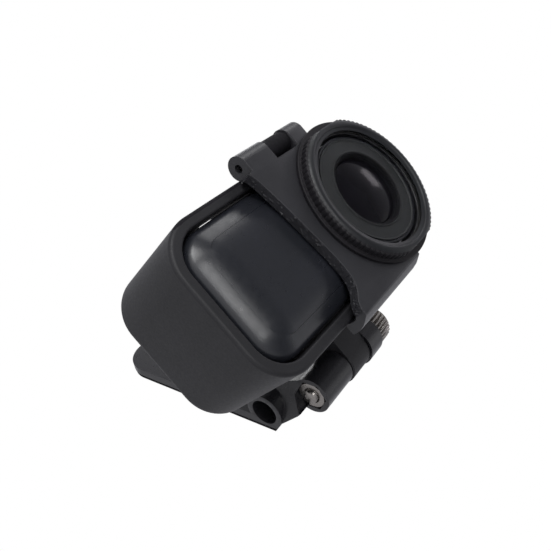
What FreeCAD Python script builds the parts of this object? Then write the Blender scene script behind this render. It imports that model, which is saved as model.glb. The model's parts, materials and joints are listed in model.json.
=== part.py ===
import FreeCAD, Part
import math
import os
import re

# A thumb-size pill-shaped video camera in an open cradle with a hinged front
# strap, a screw-on lens guard and a pivoting stick-on base. Millimetres.
# X runs across the camera, Y from front to back and Z along its length.
# Pieces are drawn from the middle of the cradle's front rim at the bottom of
# the cup, or from the pivot bolt for the base, and every node's Placement then
# puts the origin at the middle of the base's adhesive face.

doc = FreeCAD.newDocument("thumb_camera")
sheet = doc.addObject("Spreadsheet::Sheet", "Sizes")
V = FreeCAD.Vector

SIZES = [
    ("body_half", 12.8, "camera body, half its width"),
    ("body_bottom", 2.45, "camera body, lower end"),
    ("body_top", 56.85, "camera body, upper end"),
    ("body_front", -1.3, "camera body, front face"),
    ("body_back", 21.9, "camera body, back face"),
    ("body_corner", 6.2, "camera body, corner radius seen from the front"),
    ("body_edge", 2.0, "camera body, rounding of the front and back edges"),
    ("shell_wall", 1.2, "camera shells, wall"),
    ("seam_front", 8.0, "seam between the shells, front side"),
    ("seam_back", 8.4, "seam between the shells, back side"),
    ("screw_x", 9.5, "case screws, distance from the middle"),
    ("screw_low", 5.9, "case screws, lower pair"),
    ("screw_high", 53.4, "case screws, upper pair"),
    ("screw_radius", 0.6, "case screws, shank radius"),
    ("screw_head", 1.1, "case screws, head radius"),
    ("post_radius", 1.7, "screw posts, radius"),
    ("key_half", 9.6, "front key, half its width"),
    ("key_low", 5.8, "front key, lower edge"),
    ("key_high", 28.6, "front key, upper edge"),
    ("key_corner", 4.0, "front key, corner radius"),
    ("key_gap", 0.12, "gap around the front key"),
    ("lens_z", 41.75, "height of the lens axis"),
    ("bump_radius", 11.5, "lens housing, outer radius"),
    ("bump_front", -4.9, "lens housing, front face"),
    ("barrel_radius", 7.8, "lens barrel, outer radius"),
    ("glass_radius", 5.8, "front lens element, radius of its stem"),
    ("glass_head", 6.9, "front lens element, radius of its domed head"),
    ("cup_half", 15.3, "cradle, half its width"),
    ("cup_depth", 24.1, "cradle, front rim to back"),
    ("cup_wall", 2.15, "cradle, side and bottom wall"),
    ("cup_floor_back", 22.1, "cradle, inner face of the back wall"),
    ("cup_corner", 8.2, "cradle, outer radius of the lower corners"),
    ("cup_top", 46.0, "cradle, top of the rails"),
    ("cup_rear_edge", 2.0, "cradle, rounding of the rear edge"),
    ("rim_outer_edge", 0.7, "cradle, outer rounding of the front rim"),
    ("rim_inner_edge", 0.4, "cradle, inner rounding of the front rim"),
    ("knuckle_edge", 0.3, "cradle's knuckle, rounding of its end edges"),
    ("pin_x", -16.65, "door hinge pin, X"),
    ("pin_y", -1.5, "door hinge pin, Y"),
    ("pin_radius", 0.75, "door hinge pin, radius"),
    ("pin_bore", 0.8, "bore of the door's hinge barrel"),
    ("hinge_radius", 2.3, "door's hinge barrel, outer radius"),
    ("hinge_low", 22.4, "door's hinge barrel, lower end"),
    ("hinge_high", 40.1, "door's hinge barrel, upper end"),
    ("slot_low", 29.4, "slot in the hinge barrel, lower side"),
    ("slot_high", 35.8, "slot in the hinge barrel, upper side"),
    ("strap_front", -3.8, "door strap, front face"),
    ("strap_back", -1.7, "door strap, inner face"),
    ("strap_top", 42.3, "door strap, upper edge"),
    ("lug_corner", 1.5, "door strap, rounding of the latch lug"),
    ("strap_disc", 15.0, "door strap, round part about the lens"),
    ("strap_hole", 12.0, "door strap, lens opening radius"),
    ("collar_radius", 13.2, "door strap, threaded collar outer radius"),
    ("collar_front", -5.2, "door strap, collar front face"),
    ("flange_radius", 15.2, "lens guard, rear flange radius"),
    ("knurl_radius", 14.65, "lens guard, grip radius"),
    ("knurl_depth", 0.22, "lens guard, depth of the grip grooves"),
    ("knurl_count", 84.0, "lens guard, number of grip grooves"),
    ("flat_half", 13.7, "lens guard, half the distance over the flats"),
    ("rim_radius", 13.7, "lens guard, front rim radius"),
    ("guard_front", -6.56, "lens guard, front face"),
    ("guard_back", -3.9, "lens guard, rear face"),
    ("guard_bore", 13.25, "lens guard, bore over the collar"),
    ("window_radius", 12.55, "guard glass, radius"),
    ("axis_x", 23.2, "pivot bolt, X"),
    ("axis_y", 19.3, "pivot bolt, Y"),
    ("base_turn", -48.4, "base, angle about the pivot bolt"),
    ("bolt_radius", 1.5, "pivot bolt, M3 shank radius"),
    ("bolt_hole", 1.55, "knuckles, bore for the pivot bolt"),
    ("bolt_end", 17.9, "pivot bolt, lower end"),
    ("head_low", 39.9, "pivot bolt, underside of the head"),
    ("head_high", 44.5, "pivot bolt, top of the head"),
    ("head_radius", 4.2, "pivot bolt, head radius"),
    ("nut_across", 5.5, "hex nut, across its flats"),
    ("nut_low", 18.6, "hex nut, lower face"),
    ("nut_high", 21.0, "hex nut, upper face"),
    ("boss_radius", 3.9, "base's lower knuckle, radius"),
    ("head_boss_radius", 4.6, "base's upper knuckle, under the bolt's head, radius"),
    ("boss_low", 18.5, "base knuckles, lower end"),
    ("gap_low", 27.9, "gap for the cradle's knuckle, lower side"),
    ("gap_high", 35.1, "gap for the cradle's knuckle, upper side"),
    ("boss_high", 39.8, "base knuckles, upper end"),
    ("knuckle_radius", 4.2, "cradle's knuckle, radius"),
    ("knuckle_gap", 0.2, "play at each side of the cradle's knuckle"),
    ("plate_left", -51.8, "base plate, far end from the bolt axis"),
    ("plate_right", -6.5, "base plate, near end from the bolt axis"),
    ("plate_low", 14.0, "base plate, lower edge"),
    ("plate_high", 44.0, "base plate, upper edge"),
    ("plate_face", 5.9, "base plate, inner face from the bolt axis"),
    ("plate_back", 7.65, "base plate, outer face from the bolt axis"),
    ("pad_back", 8.45, "adhesive pad, outer face from the bolt axis"),
    ("plate_corner", 7.0, "base plate, corner radius"),
    ("tunnel_u", -8.8, "round tunnel through the base, along the plate"),
    ("tunnel_n", 4.05, "round tunnel through the base, from the bolt axis"),
    ("tunnel_radius", 2.85, "round tunnel through the base, radius"),
    ("curl_radius", 4.1, "curl around the tunnel, outer radius"),
]

for row, (alias, value, meaning) in enumerate(SIZES, 1):
    sheet.set("A%d" % row, meaning)
    sheet.set("B%d" % row, str(value))
    sheet.setAlias("B%d" % row, alias)
doc.recompute()

ALIASES = [alias for alias, value, meaning in SIZES]
ALIAS_WORD = re.compile(r"\b(" + "|".join(ALIASES) + r")\b")


def size(alias):
    return float(sheet.get(alias))


def formula(text):
    return ALIAS_WORD.sub(r"Sizes.\1", str(text))


def bind(item, **bindings):
    for prop, text in bindings.items():
        item.setExpression(prop.replace("__", "."), formula(text))
    return item


# ---- parametric primitives ----

def box(name, x, y, z):
    item = doc.addObject("Part::Box", name)
    return bind(item, Length="(%s) - (%s)" % (x[1], x[0]), Width="(%s) - (%s)" % (y[1], y[0]),
                Height="(%s) - (%s)" % (z[1], z[0]), Placement__Base__x=x[0],
                Placement__Base__y=y[0], Placement__Base__z=z[0])


def rod_y(name, radius, y, x=0, z="lens_z"):
    item = doc.addObject("Part::Cylinder", name)
    item.Placement.Rotation = FreeCAD.Rotation(V(1, 0, 0), -90)
    return bind(item, Radius=radius, Height="(%s) - (%s)" % (y[1], y[0]), Placement__Base__x=x,
                Placement__Base__y=y[0], Placement__Base__z=z)


def cone_y(name, front, back, y):
    item = doc.addObject("Part::Cone", name)
    item.Placement.Rotation = FreeCAD.Rotation(V(1, 0, 0), -90)
    return bind(item, Radius1=front, Radius2=back, Height="(%s) - (%s)" % (y[1], y[0]),
                Placement__Base__y=y[0], Placement__Base__z="lens_z")


def rod_z(name, radius, z, x=0, y=0):
    item = doc.addObject("Part::Cylinder", name)
    return bind(item, Radius=radius, Height="(%s) - (%s)" % (z[1], z[0]), Placement__Base__x=x,
                Placement__Base__y=y, Placement__Base__z=z[0])


def ball(name, radius, y):
    item = doc.addObject("Part::Sphere", name)
    return bind(item, Radius=radius, Placement__Base__y=y, Placement__Base__z="lens_z")


def hexagon(name, across, z, x, y):
    item = doc.addObject("Part::Prism", name)
    item.Polygon = 6
    return bind(item, Circumradius="(%s) / sqrt(3)" % across, Height="(%s) - (%s)" % (z[1], z[0]),
                Placement__Base__x=x, Placement__Base__y=y, Placement__Base__z=z[0])


def join(name, *parts):
    item = doc.addObject("Part::MultiFuse", name)
    item.Shapes = list(parts)
    item.Refine = True
    return item


def meet(name, *parts):
    item = doc.addObject("Part::MultiCommon", name)
    item.Shapes = list(parts)
    return item


def cut(name, body, *tools):
    item = doc.addObject("Part::Cut", name)
    item.Base = body
    item.Tool = tools[0] if len(tools) == 1 else join(name + "_tools", *tools)
    item.Refine = True
    return item


def rounded(name, body, radius, chosen):
    doc.recompute()
    item = doc.addObject("Part::Fillet", name)
    item.Base = body
    edges = [i for i, edge in enumerate(body.Shape.Edges, 1) if chosen(edge)]
    item.Edges = [(i, size(radius), size(radius)) for i in edges]
    return item


def solid(name, shape):
    item = doc.addObject("Part::Feature", name)
    item.Shape = shape
    return item


def ends(edge):
    return [edge.Vertexes[0].Point, edge.Vertexes[-1].Point]


def along_y(edge, z_limit=1e9):
    a, b = ends(edge)
    straight = abs(a.x - b.x) < 1e-6 and abs(a.z - b.z) < 1e-6
    return straight and abs(a.y - b.y) > 0.1 and a.z < z_limit


def on_plane_y(edge, y):
    return all(abs(p.y - y) < 1e-6 for p in ends(edge)) and abs(edge.CenterOfMass.y - y) < 1e-6


def on_rim(edge):
    return on_plane_y(edge, 0) and min(p.z for p in ends(edge)) < size("cup_top") - 1


def on_outline(edge):
    """True for a rim edge on the cup's outer side, False for one on its inner side."""
    if edge.Curve.TypeId == "Part::GeomCircle":
        return edge.Curve.Radius > size("body_corner") + 1
    widest = max(abs(p.x) for p in ends(edge))
    lowest = min(p.z for p in ends(edge))
    return widest > size("cup_half") - 1 or lowest < 1


def prism_z(name, points, z0, z1):
    """A solid from an outline of (x, y) corners, standing between two heights."""
    corners = [V(x, y, z0) for x, y in points]
    face = Part.Face(Part.makePolygon(corners + corners[:1]))
    return solid(name, face.extrude(V(0, 0, z1 - z0)))


def grooved_rod(radius, depth, count, length):
    """A rod along Z whose side carries straight V grooves, for a knurled grip."""
    corners = []
    for i in range(2 * int(count)):
        reach = radius if i % 2 else radius - depth
        angle = math.pi * i / int(count)
        corners.append(V(reach * math.cos(angle), reach * math.sin(angle), 0))
    face = Part.Face(Part.makePolygon(corners + corners[:1]))
    return face.extrude(V(0, 0, length))


def base_frame():
    centre = V(size("axis_x"), size("axis_y"), 0)
    return FreeCAD.Placement(centre, FreeCAD.Rotation(V(0, 0, 1), size("base_turn")))


def origin_shift():
    middle_u = (size("plate_left") + size("plate_right")) / 2
    middle_z = (size("plate_low") + size("plate_high")) / 2
    origin = base_frame().multVec(V(middle_u, size("pad_back"), middle_z))
    return FreeCAD.Placement(origin.negative(), FreeCAD.Rotation())


def named(item, label, frame=FreeCAD.Placement()):
    """Makes a node: the finished piece, set in place in the whole object."""
    node = doc.addObject("Part::Compound", label + "_node")
    node.Links = [item]
    node.Label = label
    node.Placement = origin_shift().multiply(frame)
    NODES.append(node)
    return node


NODES = []


# ---- base: plate, pad, nut and bolt, drawn about the bolt axis ----

def base_arm(name, z0, z1):
    outline = [(-9.5, 0.2), (-8.0, -0.9), (-2.6, -2.9), (0.6, -2.4), (1.6, 0.2), (-1.6, 3.3),
               (-4.7, 5.4), (-6.0, 5.4)]
    return prism_z(name, outline, z0, z1)


def slanted_cut(name, low, z_outer, z_inner):
    """Trims an arm so it narrows from the plate up to the knuckles."""
    far = -40 if low else 40
    u0, u1 = -30, 10
    n0, n1 = 5.4, -1.5
    corners = [(n0, z_outer), (n1, z_inner), (n1 - 8, z_inner), (n1 - 8, z_inner + far),
               (n0, z_inner + far)]
    points = [V(u0, n, z) for n, z in corners]
    face = Part.Face(Part.makePolygon(points + points[:1]))
    return solid(name, face.extrude(V(u1 - u0, 0, 0)))


def far_corner(edge):
    return along_y(edge) and edge.CenterOfMass.x < -30


def build_base():
    plate = box("plate_blank", ("plate_left", "plate_right"), ("plate_face", "plate_back"),
                ("plate_low", "plate_high"))
    plate = rounded("plate_rounded", plate, "plate_corner", far_corner)
    low_arm = cut("low_arm", base_arm("low_arm_blank", size("plate_low"), size("gap_low")),
                  slanted_cut("low_slant", True, size("plate_low"), size("boss_low")))
    high_arm = cut("high_arm", base_arm("high_arm_blank", size("gap_high"), size("plate_high")),
                   slanted_cut("high_slant", False, size("plate_high"), size("boss_high")))
    low_boss = rod_z("low_boss", "boss_radius", ("boss_low", "gap_low"))
    high_boss = rod_z("high_boss", "head_boss_radius", ("gap_high", "boss_high"))
    curl = meet("curl", rod_z("curl_round", "curl_radius", ("plate_low", "plate_high"), "tunnel_u",
                              "tunnel_n"),
                box("curl_trim", (-30, 10), (-10, "plate_back"), (0, 60)))
    blank = join("base_blank", plate, curl, low_arm, high_arm, low_boss, high_boss)
    bore = rod_z("base_bore", "bolt_hole", (0, 60))
    pocket = hexagon("nut_pocket", "nut_across + 0.1", ("boss_low - 5", "nut_high + 0.05"), 0, 0)
    head_room = rod_z("head_room", "head_radius + 0.3", ("boss_high", 60))
    tunnel = rod_z("tunnel", "tunnel_radius", (0, 60), "tunnel_u", "tunnel_n")
    trimmed = cut("base_trimmed", blank, bore, pocket, head_room, tunnel)
    return named(trimmed, "base_plate", base_frame())


def build_pad():
    pad = box("pad_blank", ("plate_left + 0.1", "plate_right - 0.3"), ("plate_back", "pad_back"),
              ("plate_low + 0.1", "plate_high - 0.1"))
    pad = rounded("pad_rounded", pad, "plate_corner", far_corner)
    return named(pad, "adhesive_pad", base_frame())


def build_nut():
    blank = hexagon("nut_blank", "nut_across", ("nut_low", "nut_high"), 0, 0)
    reach = size("nut_across") / math.sqrt(3)
    dome = doc.addObject("Part::Sphere", "nut_dome")
    middle = (size("nut_low") + size("nut_high")) / 2
    dome.Radius = math.hypot(reach, (size("nut_high") - size("nut_low")) / 2 - 0.35)
    dome.Placement.Base = V(0, 0, middle)
    bore = rod_z("nut_bore", "bolt_radius + 0.03", (0, 60))
    nut = cut("nut_cut", meet("nut_turned", blank, dome), bore)
    return named(nut, "pivot_nut", base_frame())


def build_bolt():
    shank = rod_z("bolt_shank", "bolt_radius", ("bolt_end", "head_low + 1"))
    head = grooved_rod(size("head_radius"), 0.3, 28, size("head_high") - size("head_low"))
    grip = solid("bolt_grip", head)
    grip.Placement = FreeCAD.Placement(V(0, 0, size("head_low")), FreeCAD.Rotation())
    socket = hexagon("bolt_socket", "2.5", ("head_high - 2.2", "head_high + 1"), 0, 0)
    bolt = cut("bolt_cut", join("bolt_blank", shank, grip), socket)
    return named(bolt, "pivot_bolt", base_frame())


# ---- cradle ----

def build_cradle():
    blank = box("cup_blank", ("-cup_half", "cup_half"), (0, "cup_depth"), (0, "cup_top"))
    blank = rounded("cup_corners", blank, "cup_corner", lambda e: along_y(e, 1.0))
    blank = rounded("cup_outer", blank, "cup_rear_edge",
                    lambda e: on_plane_y(e, size("cup_depth")) and e.CenterOfMass.z < 45.9)
    inner_half = "cup_half - cup_wall"
    hollow = box("cup_hollow", ("-(%s)" % inner_half, inner_half), (-5, "cup_floor_back"),
                 ("cup_wall", "cup_top + 9"))
    hollow = rounded("cup_hollow_round", hollow, "body_corner", lambda e: along_y(e, 5.0))
    cup = cut("cup_shell", blank, hollow)
    cup = rounded("cup_rim_inner", cup, "rim_inner_edge",
                  lambda e: on_rim(e) and not on_outline(e))
    cup = rounded("cup_rim_outer", cup, "rim_outer_edge",
                  lambda e: on_rim(e) and on_outline(e))
    windows = box("cup_windows", (-30, 30), (3.5, 18.5), (12, 26))
    swing_low = rod_z("swing_low", "hinge_radius + 0.25", ("hinge_low - 0.3", "slot_low + 0.15"),
                      "pin_x", "pin_y")
    swing_high = rod_z("swing_high", "hinge_radius + 0.25", ("slot_high - 0.15", "hinge_high + 0.3"),
                       "pin_x", "pin_y")
    frame = cut("cup_open", cup, windows, swing_low, swing_high)
    ear_span = ("slot_low + 0.2", "slot_high - 0.2")
    ear = rod_z("ear_round", "2.0", ear_span, "pin_x", "pin_y")
    ear_root = box("ear_root", ("pin_x - 0.6", "-(cup_half - cup_wall)"), ("pin_y", 3), ear_span)
    span = ("gap_low + knuckle_gap", "gap_high - knuckle_gap")
    knuckle = rod_z("knuckle_round", "knuckle_radius", span, "axis_x", "axis_y")
    knuckle = rounded("knuckle_soft", knuckle, "knuckle_edge", lambda e: e.Closed)
    web = box("knuckle_web", ("cup_half - 1.2", "axis_x"),
              ("axis_y - knuckle_radius", "axis_y + knuckle_radius"), span)
    whole = join("cradle_blank", frame, ear, ear_root, knuckle, web)
    pin_hole = rod_z("ear_bore", "pin_radius", (0, 60), "pin_x", "pin_y")
    bolt_hole = rod_z("knuckle_bore", "bolt_hole", (0, 60), "axis_x", "axis_y")
    return named(cut("cradle_cut", whole, pin_hole, bolt_hole), "cradle_frame")


def build_pin():
    pin = rod_z("pin_rod", "pin_radius", ("hinge_low + 1.0", "hinge_high - 0.4"), "pin_x", "pin_y")
    return named(pin, "hinge_pin")


# ---- door strap and lens guard ----

def strap_face():
    """Front band whose lower edge rises in a slow curve between its two ends."""
    left, right = -14.4, 15.0
    y0, y1 = size("strap_front"), size("strap_back")
    rise = [(left, 21.2), (-12.2, 21.9), (-6.5, 22.8), (0, 23.6), (5.5, 24.1), (9.4, 24.0),
            (11.6, 23.0), (13.0, 21.3), (right, 20.6)]
    curve = Part.BSplineCurve()
    curve.interpolate([V(x, y0, z) for x, z in rise])
    top = [V(right, y0, rise[-1][1]), V(right, y0, size("strap_top")), V(left, y0, size("strap_top")),
           V(left, y0, rise[0][1])]
    face = Part.Face(Part.Wire([curve.toShape()] + Part.makePolygon(top).Edges))
    return solid("strap_face", face.extrude(V(0, y1 - y0, 0)))


def build_strap():
    front, back = size("strap_front"), size("strap_back")
    wrap_outline = [(13.5, front), (15.7, front), (16.9, -1.9), (17.5, -0.3), (17.5, 1.2), (17.1, 1.6),
                    (15.95, 1.6), (15.55, 1.2), (15.55, -1.1), (14.95, back), (13.5, back)]
    wrap = prism_z("strap_wrap", wrap_outline, 20.6, size("strap_top"))
    trim = box("lug_trim", (-30, 30), (-20, 1.6), (20.6, "strap_top"))
    trim = rounded("lug_trim_round", trim, "lug_corner",
                   lambda e: e.Length > 50 and all(abs(p.y - 1.6) < 1e-6 for p in ends(e)))
    lug = meet("strap_lug", wrap, trim)
    disc = rod_y("strap_round", "strap_disc", ("strap_front", "strap_back"))
    collar = rod_y("strap_collar", "collar_radius", ("collar_front", "strap_back"))
    barrel = rod_z("hinge_barrel", "hinge_radius", ("hinge_low", "hinge_high"), "pin_x", "pin_y")
    leaf = box("hinge_leaf", ("pin_x", -14), ("strap_front", "strap_back"), ("hinge_low", "hinge_high"))
    whole = join("strap_blank", strap_face(), lug, disc, collar, barrel, leaf)
    slot = box("hinge_slot", (-25, -14.3), (-10, 3), ("slot_low", "slot_high"))
    bore = rod_z("barrel_bore", "pin_bore", (0, 60), "pin_x", "pin_y")
    hole = rod_y("strap_opening", "strap_hole", (-10, 5))
    return named(cut("strap_cut", whole, slot, bore, hole), "door_strap")


def turned(name, profile, z):
    """A ring about the lens axis from (radius, y) corners of its section."""
    corners = [V(radius, y, z) for radius, y in profile]
    face = Part.Face(Part.makePolygon(corners + corners[:1]))
    return solid(name, face.revolve(V(0, 0, z), V(0, 1, 0), 360))


def build_guard_ring():
    front, back, bore = size("guard_front"), size("guard_back"), size("guard_bore")
    knurl, rim, flange = size("knurl_radius"), size("rim_radius"), size("flange_radius")
    z = size("lens_z")
    grip_profile = [(bore, -4.6), (bore, -5.4), (size("window_radius") + 0.05, -5.4),
                    (size("window_radius") + 0.05, -6.05), (12.1, -6.05), (12.9, front), (rim, front),
                    (knurl, -5.95), (knurl, -4.6)]
    grip = turned("guard_grip", grip_profile, z)
    teeth = grooved_rod(knurl, size("knurl_depth"), size("knurl_count"), 5)
    teeth.rotate(V(0, 0, 0), V(1, 0, 0), -90)
    teeth.translate(V(0, front - 1, z))
    flats = box("guard_flats", ("-flat_half", "flat_half"), (-10, 0), ("lens_z - 20", "lens_z + 20"))
    grip = meet("guard_knurled", grip, solid("guard_teeth", teeth), flats)
    flange_profile = [(bore, -4.6), (flange, -4.6), (flange, back), (bore, back)]
    flange = turned("guard_flange", flange_profile, z)
    return named(join("guard_whole", grip, flange), "guard_ring")


def build_guard_glass():
    return named(rod_y("guard_window", "window_radius", (-6.05, -5.4)), "guard_glass")


def build_guard_gasket():
    outer = rod_y("gasket_outer", 13.1, (-5.4, -5.22))
    inner = rod_y("gasket_inner", 12.05, (-7, 0))
    return named(cut("gasket_cut", outer, inner), "guard_gasket")


# ---- camera ----

def shell_blank(name, y, edge_plane):
    half = "body_half"
    blank = box(name, ("-" + half, half), y, ("body_bottom", "body_top"))
    blank = rounded(name + "_corners", blank, "body_corner", lambda e: along_y(e))
    return rounded(name + "_edge", blank, "body_edge", lambda e: on_plane_y(e, size(edge_plane)))


def shell_hollow(name, y):
    inner = "body_half - shell_wall"
    hollow = box(name, ("-(%s)" % inner, inner), y,
                 ("body_bottom + shell_wall", "body_top - shell_wall"))
    hollow_corner = size("body_corner") - size("shell_wall")
    doc.recompute()
    item = doc.addObject("Part::Fillet", name + "_corners")
    item.Base = hollow
    edges = [i for i, edge in enumerate(hollow.Shape.Edges, 1) if along_y(edge)]
    item.Edges = [(i, hollow_corner, hollow_corner) for i in edges]
    return item


def at_screws(name, radius, y):
    rods = []
    for side, x in (("left", "-screw_x"), ("right", "screw_x")):
        for level in ("screw_low", "screw_high"):
            rods.append(rod_y("%s_%s_%s" % (name, side, level), radius, y, x, level))
    return rods


def build_front_shell():
    blank = shell_blank("front_blank", ("body_front", "seam_front"), "body_front")
    hollow = shell_hollow("front_hollow", ("body_front + shell_wall", "seam_front + 5"))
    posts = at_screws("front_post", "post_radius", (1.2, "seam_front"))
    inside = meet("front_posts", join("front_post_rods", *posts),
                  shell_blank("front_limit", ("body_front", "seam_front"), "body_front"))
    shelf = box("switch_shelf", ("-body_half + 1", "body_half - 1"), (3.0, 4.4), (13, 21))
    whole = join("front_whole", cut("front_walls", blank, hollow), inside, shelf)
    half = "key_half + key_gap"
    opening = box("key_opening", ("-(%s)" % half, half), (-5, 0.5),
                  ("key_low - key_gap", "key_high + key_gap"))
    opening = rounded("key_opening_round", opening, "key_corner", lambda e: along_y(e))
    lens_hole = rod_y("lens_hole", "barrel_radius", (-10, 10))
    holes = at_screws("front_screw_hole", "screw_radius", (2.0, 12))
    return named(cut("front_cut", whole, opening, lens_hole, *holes), "camera_front_shell")


def build_lens_housing():
    outer = rod_y("housing_outer", "bump_radius", ("bump_front", "body_front"))
    bore = rod_y("housing_bore", "barrel_radius", (-10, 10))
    recess = rod_y("bezel_recess", "11.0", (-10, "bump_front + 0.4"))
    return named(cut("housing_cut", outer, bore, recess), "lens_housing")


def build_rear_shell():
    blank = shell_blank("rear_blank", ("seam_back", "body_back"), "body_back")
    hollow = shell_hollow("rear_hollow", ("seam_back - 5", "body_back - shell_wall"))
    posts = at_screws("rear_post", "post_radius", ("seam_back", "body_back - 0.4"))
    inside = meet("rear_posts", join("rear_post_rods", *posts),
                  shell_blank("rear_limit", ("seam_back", "body_back"), "body_back"))
    whole = join("rear_whole", cut("rear_walls", blank, hollow), inside)
    holes = at_screws("rear_screw_hole", "screw_radius", (0, 30))
    seats = at_screws("rear_screw_seat", "screw_head", ("body_back - 0.8", 30))
    contacts = contact_rods("contact_hole", (0, 30))
    return named(cut("rear_cut", whole, *(holes + seats + contacts)), "camera_rear_shell")


def contact_rods(name, y):
    return [rod_y("%s_%d" % (name, i), 0.9, y, x, 11.0) for i, x in enumerate((-4.5, -1.5, 1.5, 4.5))]


def build_contacts():
    return named(join("contact_group", *contact_rods("contact", ("body_back - 1.7", "body_back"))), "charge_contacts")


def build_case_gasket():
    blank = shell_hollow("gasket_seal_core", ("seam_front - 1", "seam_back + 1"))
    outer = box("seal_blank", ("-body_half + 0.25", "body_half - 0.25"), ("seam_front", "seam_back"),
                ("body_bottom + 0.25", "body_top - 0.25"))
    outer = rounded("seal_outer", outer, "body_corner", lambda e: along_y(e))
    return named(cut("seal_cut", outer, blank), "case_gasket")


def build_screws():
    shanks = at_screws("screw_shank", "screw_radius", (2.0, "body_back - 0.8"))
    heads = at_screws("screw_cap", "screw_head", ("body_back - 0.8", "body_back"))
    sockets = at_screws("screw_socket", "0.45", ("body_back - 0.5", "body_back + 1"))
    return named(cut("screws_cut", join("screw_blanks", *(shanks + heads)), *sockets), "case_screws")


def build_key():
    face = box("key_face", ("-key_half", "key_half"), ("body_front - 0.1", 0.1), ("key_low", "key_high"))
    face = rounded("key_face_round", face, "key_corner", lambda e: along_y(e))
    flange = box("key_flange", ("-key_half - 0.6", "key_half + 0.6"), (-0.05, 0.5),
                 ("key_low - 0.6", "key_high + 0.6"))
    flange = rounded("key_flange_round", flange, "key_corner", lambda e: along_y(e))
    return named(join("key_whole", face, flange), "front_key")


def build_key_switch():
    case = box("switch_case", (-2.6, 2.6), (1.6, 3.0), (14.4, 19.6))
    plunger = rod_y("switch_plunger", 1.2, (0.92, 2.0), 0, 17)
    return named(join("switch_whole", case, plunger), "key_switch")


def build_lens_bezel():
    outer = rod_y("bezel_outer", 10.95, (-5.05, "bump_front + 0.4"))
    return named(cut("bezel_cut", outer, rod_y("bezel_inner", "barrel_radius", (-9, 0))), "lens_bezel")


def build_lens_barrel():
    outer = rod_y("barrel_outer", "barrel_radius", (-4.9, 5.2))
    well = cone_y("barrel_well", 7.5, 7.1, (-4.95, -3.3))
    seat = rod_y("barrel_seat", "6.5", (-3.35, -2.6))
    front_bore = rod_y("barrel_front", "glass_radius", (-3, -0.4))
    mid_bore = rod_y("barrel_middle", 4.6, (-1, 2.2))
    rear_bore = rod_y("barrel_rear", 4.0, (1, 9))
    return named(cut("barrel_cut", outer, well, seat, front_bore, mid_bore, rear_bore), "lens_barrel")


def build_retainer():
    outer = rod_y("retainer_outer", 6.45, (-3.3, -2.6))
    inner = cone_y("retainer_inner", 6.1, 5.55, (-3.35, -2.55))
    return named(cut("retainer_cut", outer, inner), "lens_retainer")


def build_lenses():
    edge = rod_y("lens_front_edge", "glass_radius", (-2.6, -0.4))
    neck = rod_y("lens_front_neck", "5.5", (-3.6, -2.5))
    head = rod_y("lens_front_head", "glass_head", (-4.95, -3.35))
    dome = meet("lens_dome", join("lens_front_rod", edge, neck, head), ball("lens_front_ball", 24.3, 19.4))
    named(dome, "lens_front")
    named(rod_y("lens_middle_rod", 4.6, (-0.4, 1.4)), "lens_middle")
    spacer = rod_y("spacer_outer", 4.6, (1.4, 2.2))
    named(cut("spacer_cut", spacer, rod_y("spacer_inner", 3.2, (0, 4))), "lens_spacer")
    rear = rod_y("lens_rear_rod", 4.0, (2.2, 4.6))
    return named(rear, "lens_rear")


def build_imager():
    low, high = "lens_z - 9.2", "lens_z + 9.2"
    holder = box("holder_block", (-9.2, 9.2), (4.0, 7.0), (low, high))
    bore = rod_y("holder_bore", "barrel_radius", (0, 5.2))
    window = box("holder_window", (-4.7, 4.7), (3, 9), ("lens_z - 3.9", "lens_z + 3.9"))
    named(cut("holder_cut", holder, bore, window), "lens_holder")
    named(box("filter_plate", (-4.6, 4.6), (5.3, 5.6), ("lens_z - 3.8", "lens_z + 3.8")), "ir_filter")
    named(box("sensor_chip", (-4.2, 4.2), (6.2, 7.0), ("lens_z - 3.4", "lens_z + 3.4")), "image_sensor")
    return named(box("sensor_pcb", (-9, 9), (7.0, 7.8), ("lens_z - 9", "lens_z + 9")), "sensor_board")


def build_electronics():
    named(box("main_pcb", (-10.5, 10.5), (9.0, 9.8), (8.6, 50.8)), "main_board")
    named(box("can", (-7, 7), (9.8, 11.0), (26, 40)), "shield_can")
    chips = [box("chip_memory", (-8, -2), (8.2, 9.0), (12, 18)),
             box("chip_power", (1, 5), (8.2, 9.0), (13, 17)),
             box("chip_radio", (-3, 3), (8.2, 9.0), (21, 26))]
    named(join("chip_group", *chips), "board_chips")
    named(box("spreader", (-9, 9), (11.0, 11.3), (20, 49.5)), "heat_spreader")
    named(box("cell", (-9.5, 9.5), (11.6, 18.6), (19.5, 49.5)), "battery")
    named(box("speaker_case", (-8, 3), (9.8, 14.0), (9.4, 17.6)), "speaker")
    return named(box("mic_case", (5, 8.8), (7.9, 9.0), (27, 30)), "microphone")


def build_all():
    build_base()
    build_pad()
    build_nut()
    build_bolt()
    build_cradle()
    build_pin()
    build_strap()
    build_guard_ring()
    build_guard_glass()
    build_guard_gasket()
    build_front_shell()
    build_lens_housing()
    build_rear_shell()
    build_contacts()
    build_case_gasket()
    build_screws()
    build_key()
    build_key_switch()
    build_lens_bezel()
    build_lens_barrel()
    build_retainer()
    build_lenses()
    build_imager()
    build_electronics()


def write_nodes():
    os.makedirs("parts", exist_ok=True)
    for item in doc.Objects:
        if "Invalid" in item.State or "Error" in item.State:
            raise RuntimeError("%s did not rebuild" % item.Name)
    for item in NODES:
        shape = item.Shape
        if shape.isNull() or not shape.isValid() or not shape.Solids:
            raise RuntimeError("%s has no valid solid" % item.Label)
        shape.exportStep("parts/%s.step" % item.Label)


build_all()
doc.recompute()
write_nodes()
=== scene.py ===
import bpy
import bmesh
import json
import math
from mathutils import Matrix, Vector
from mathutils.noise import noise as noise_value


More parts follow.
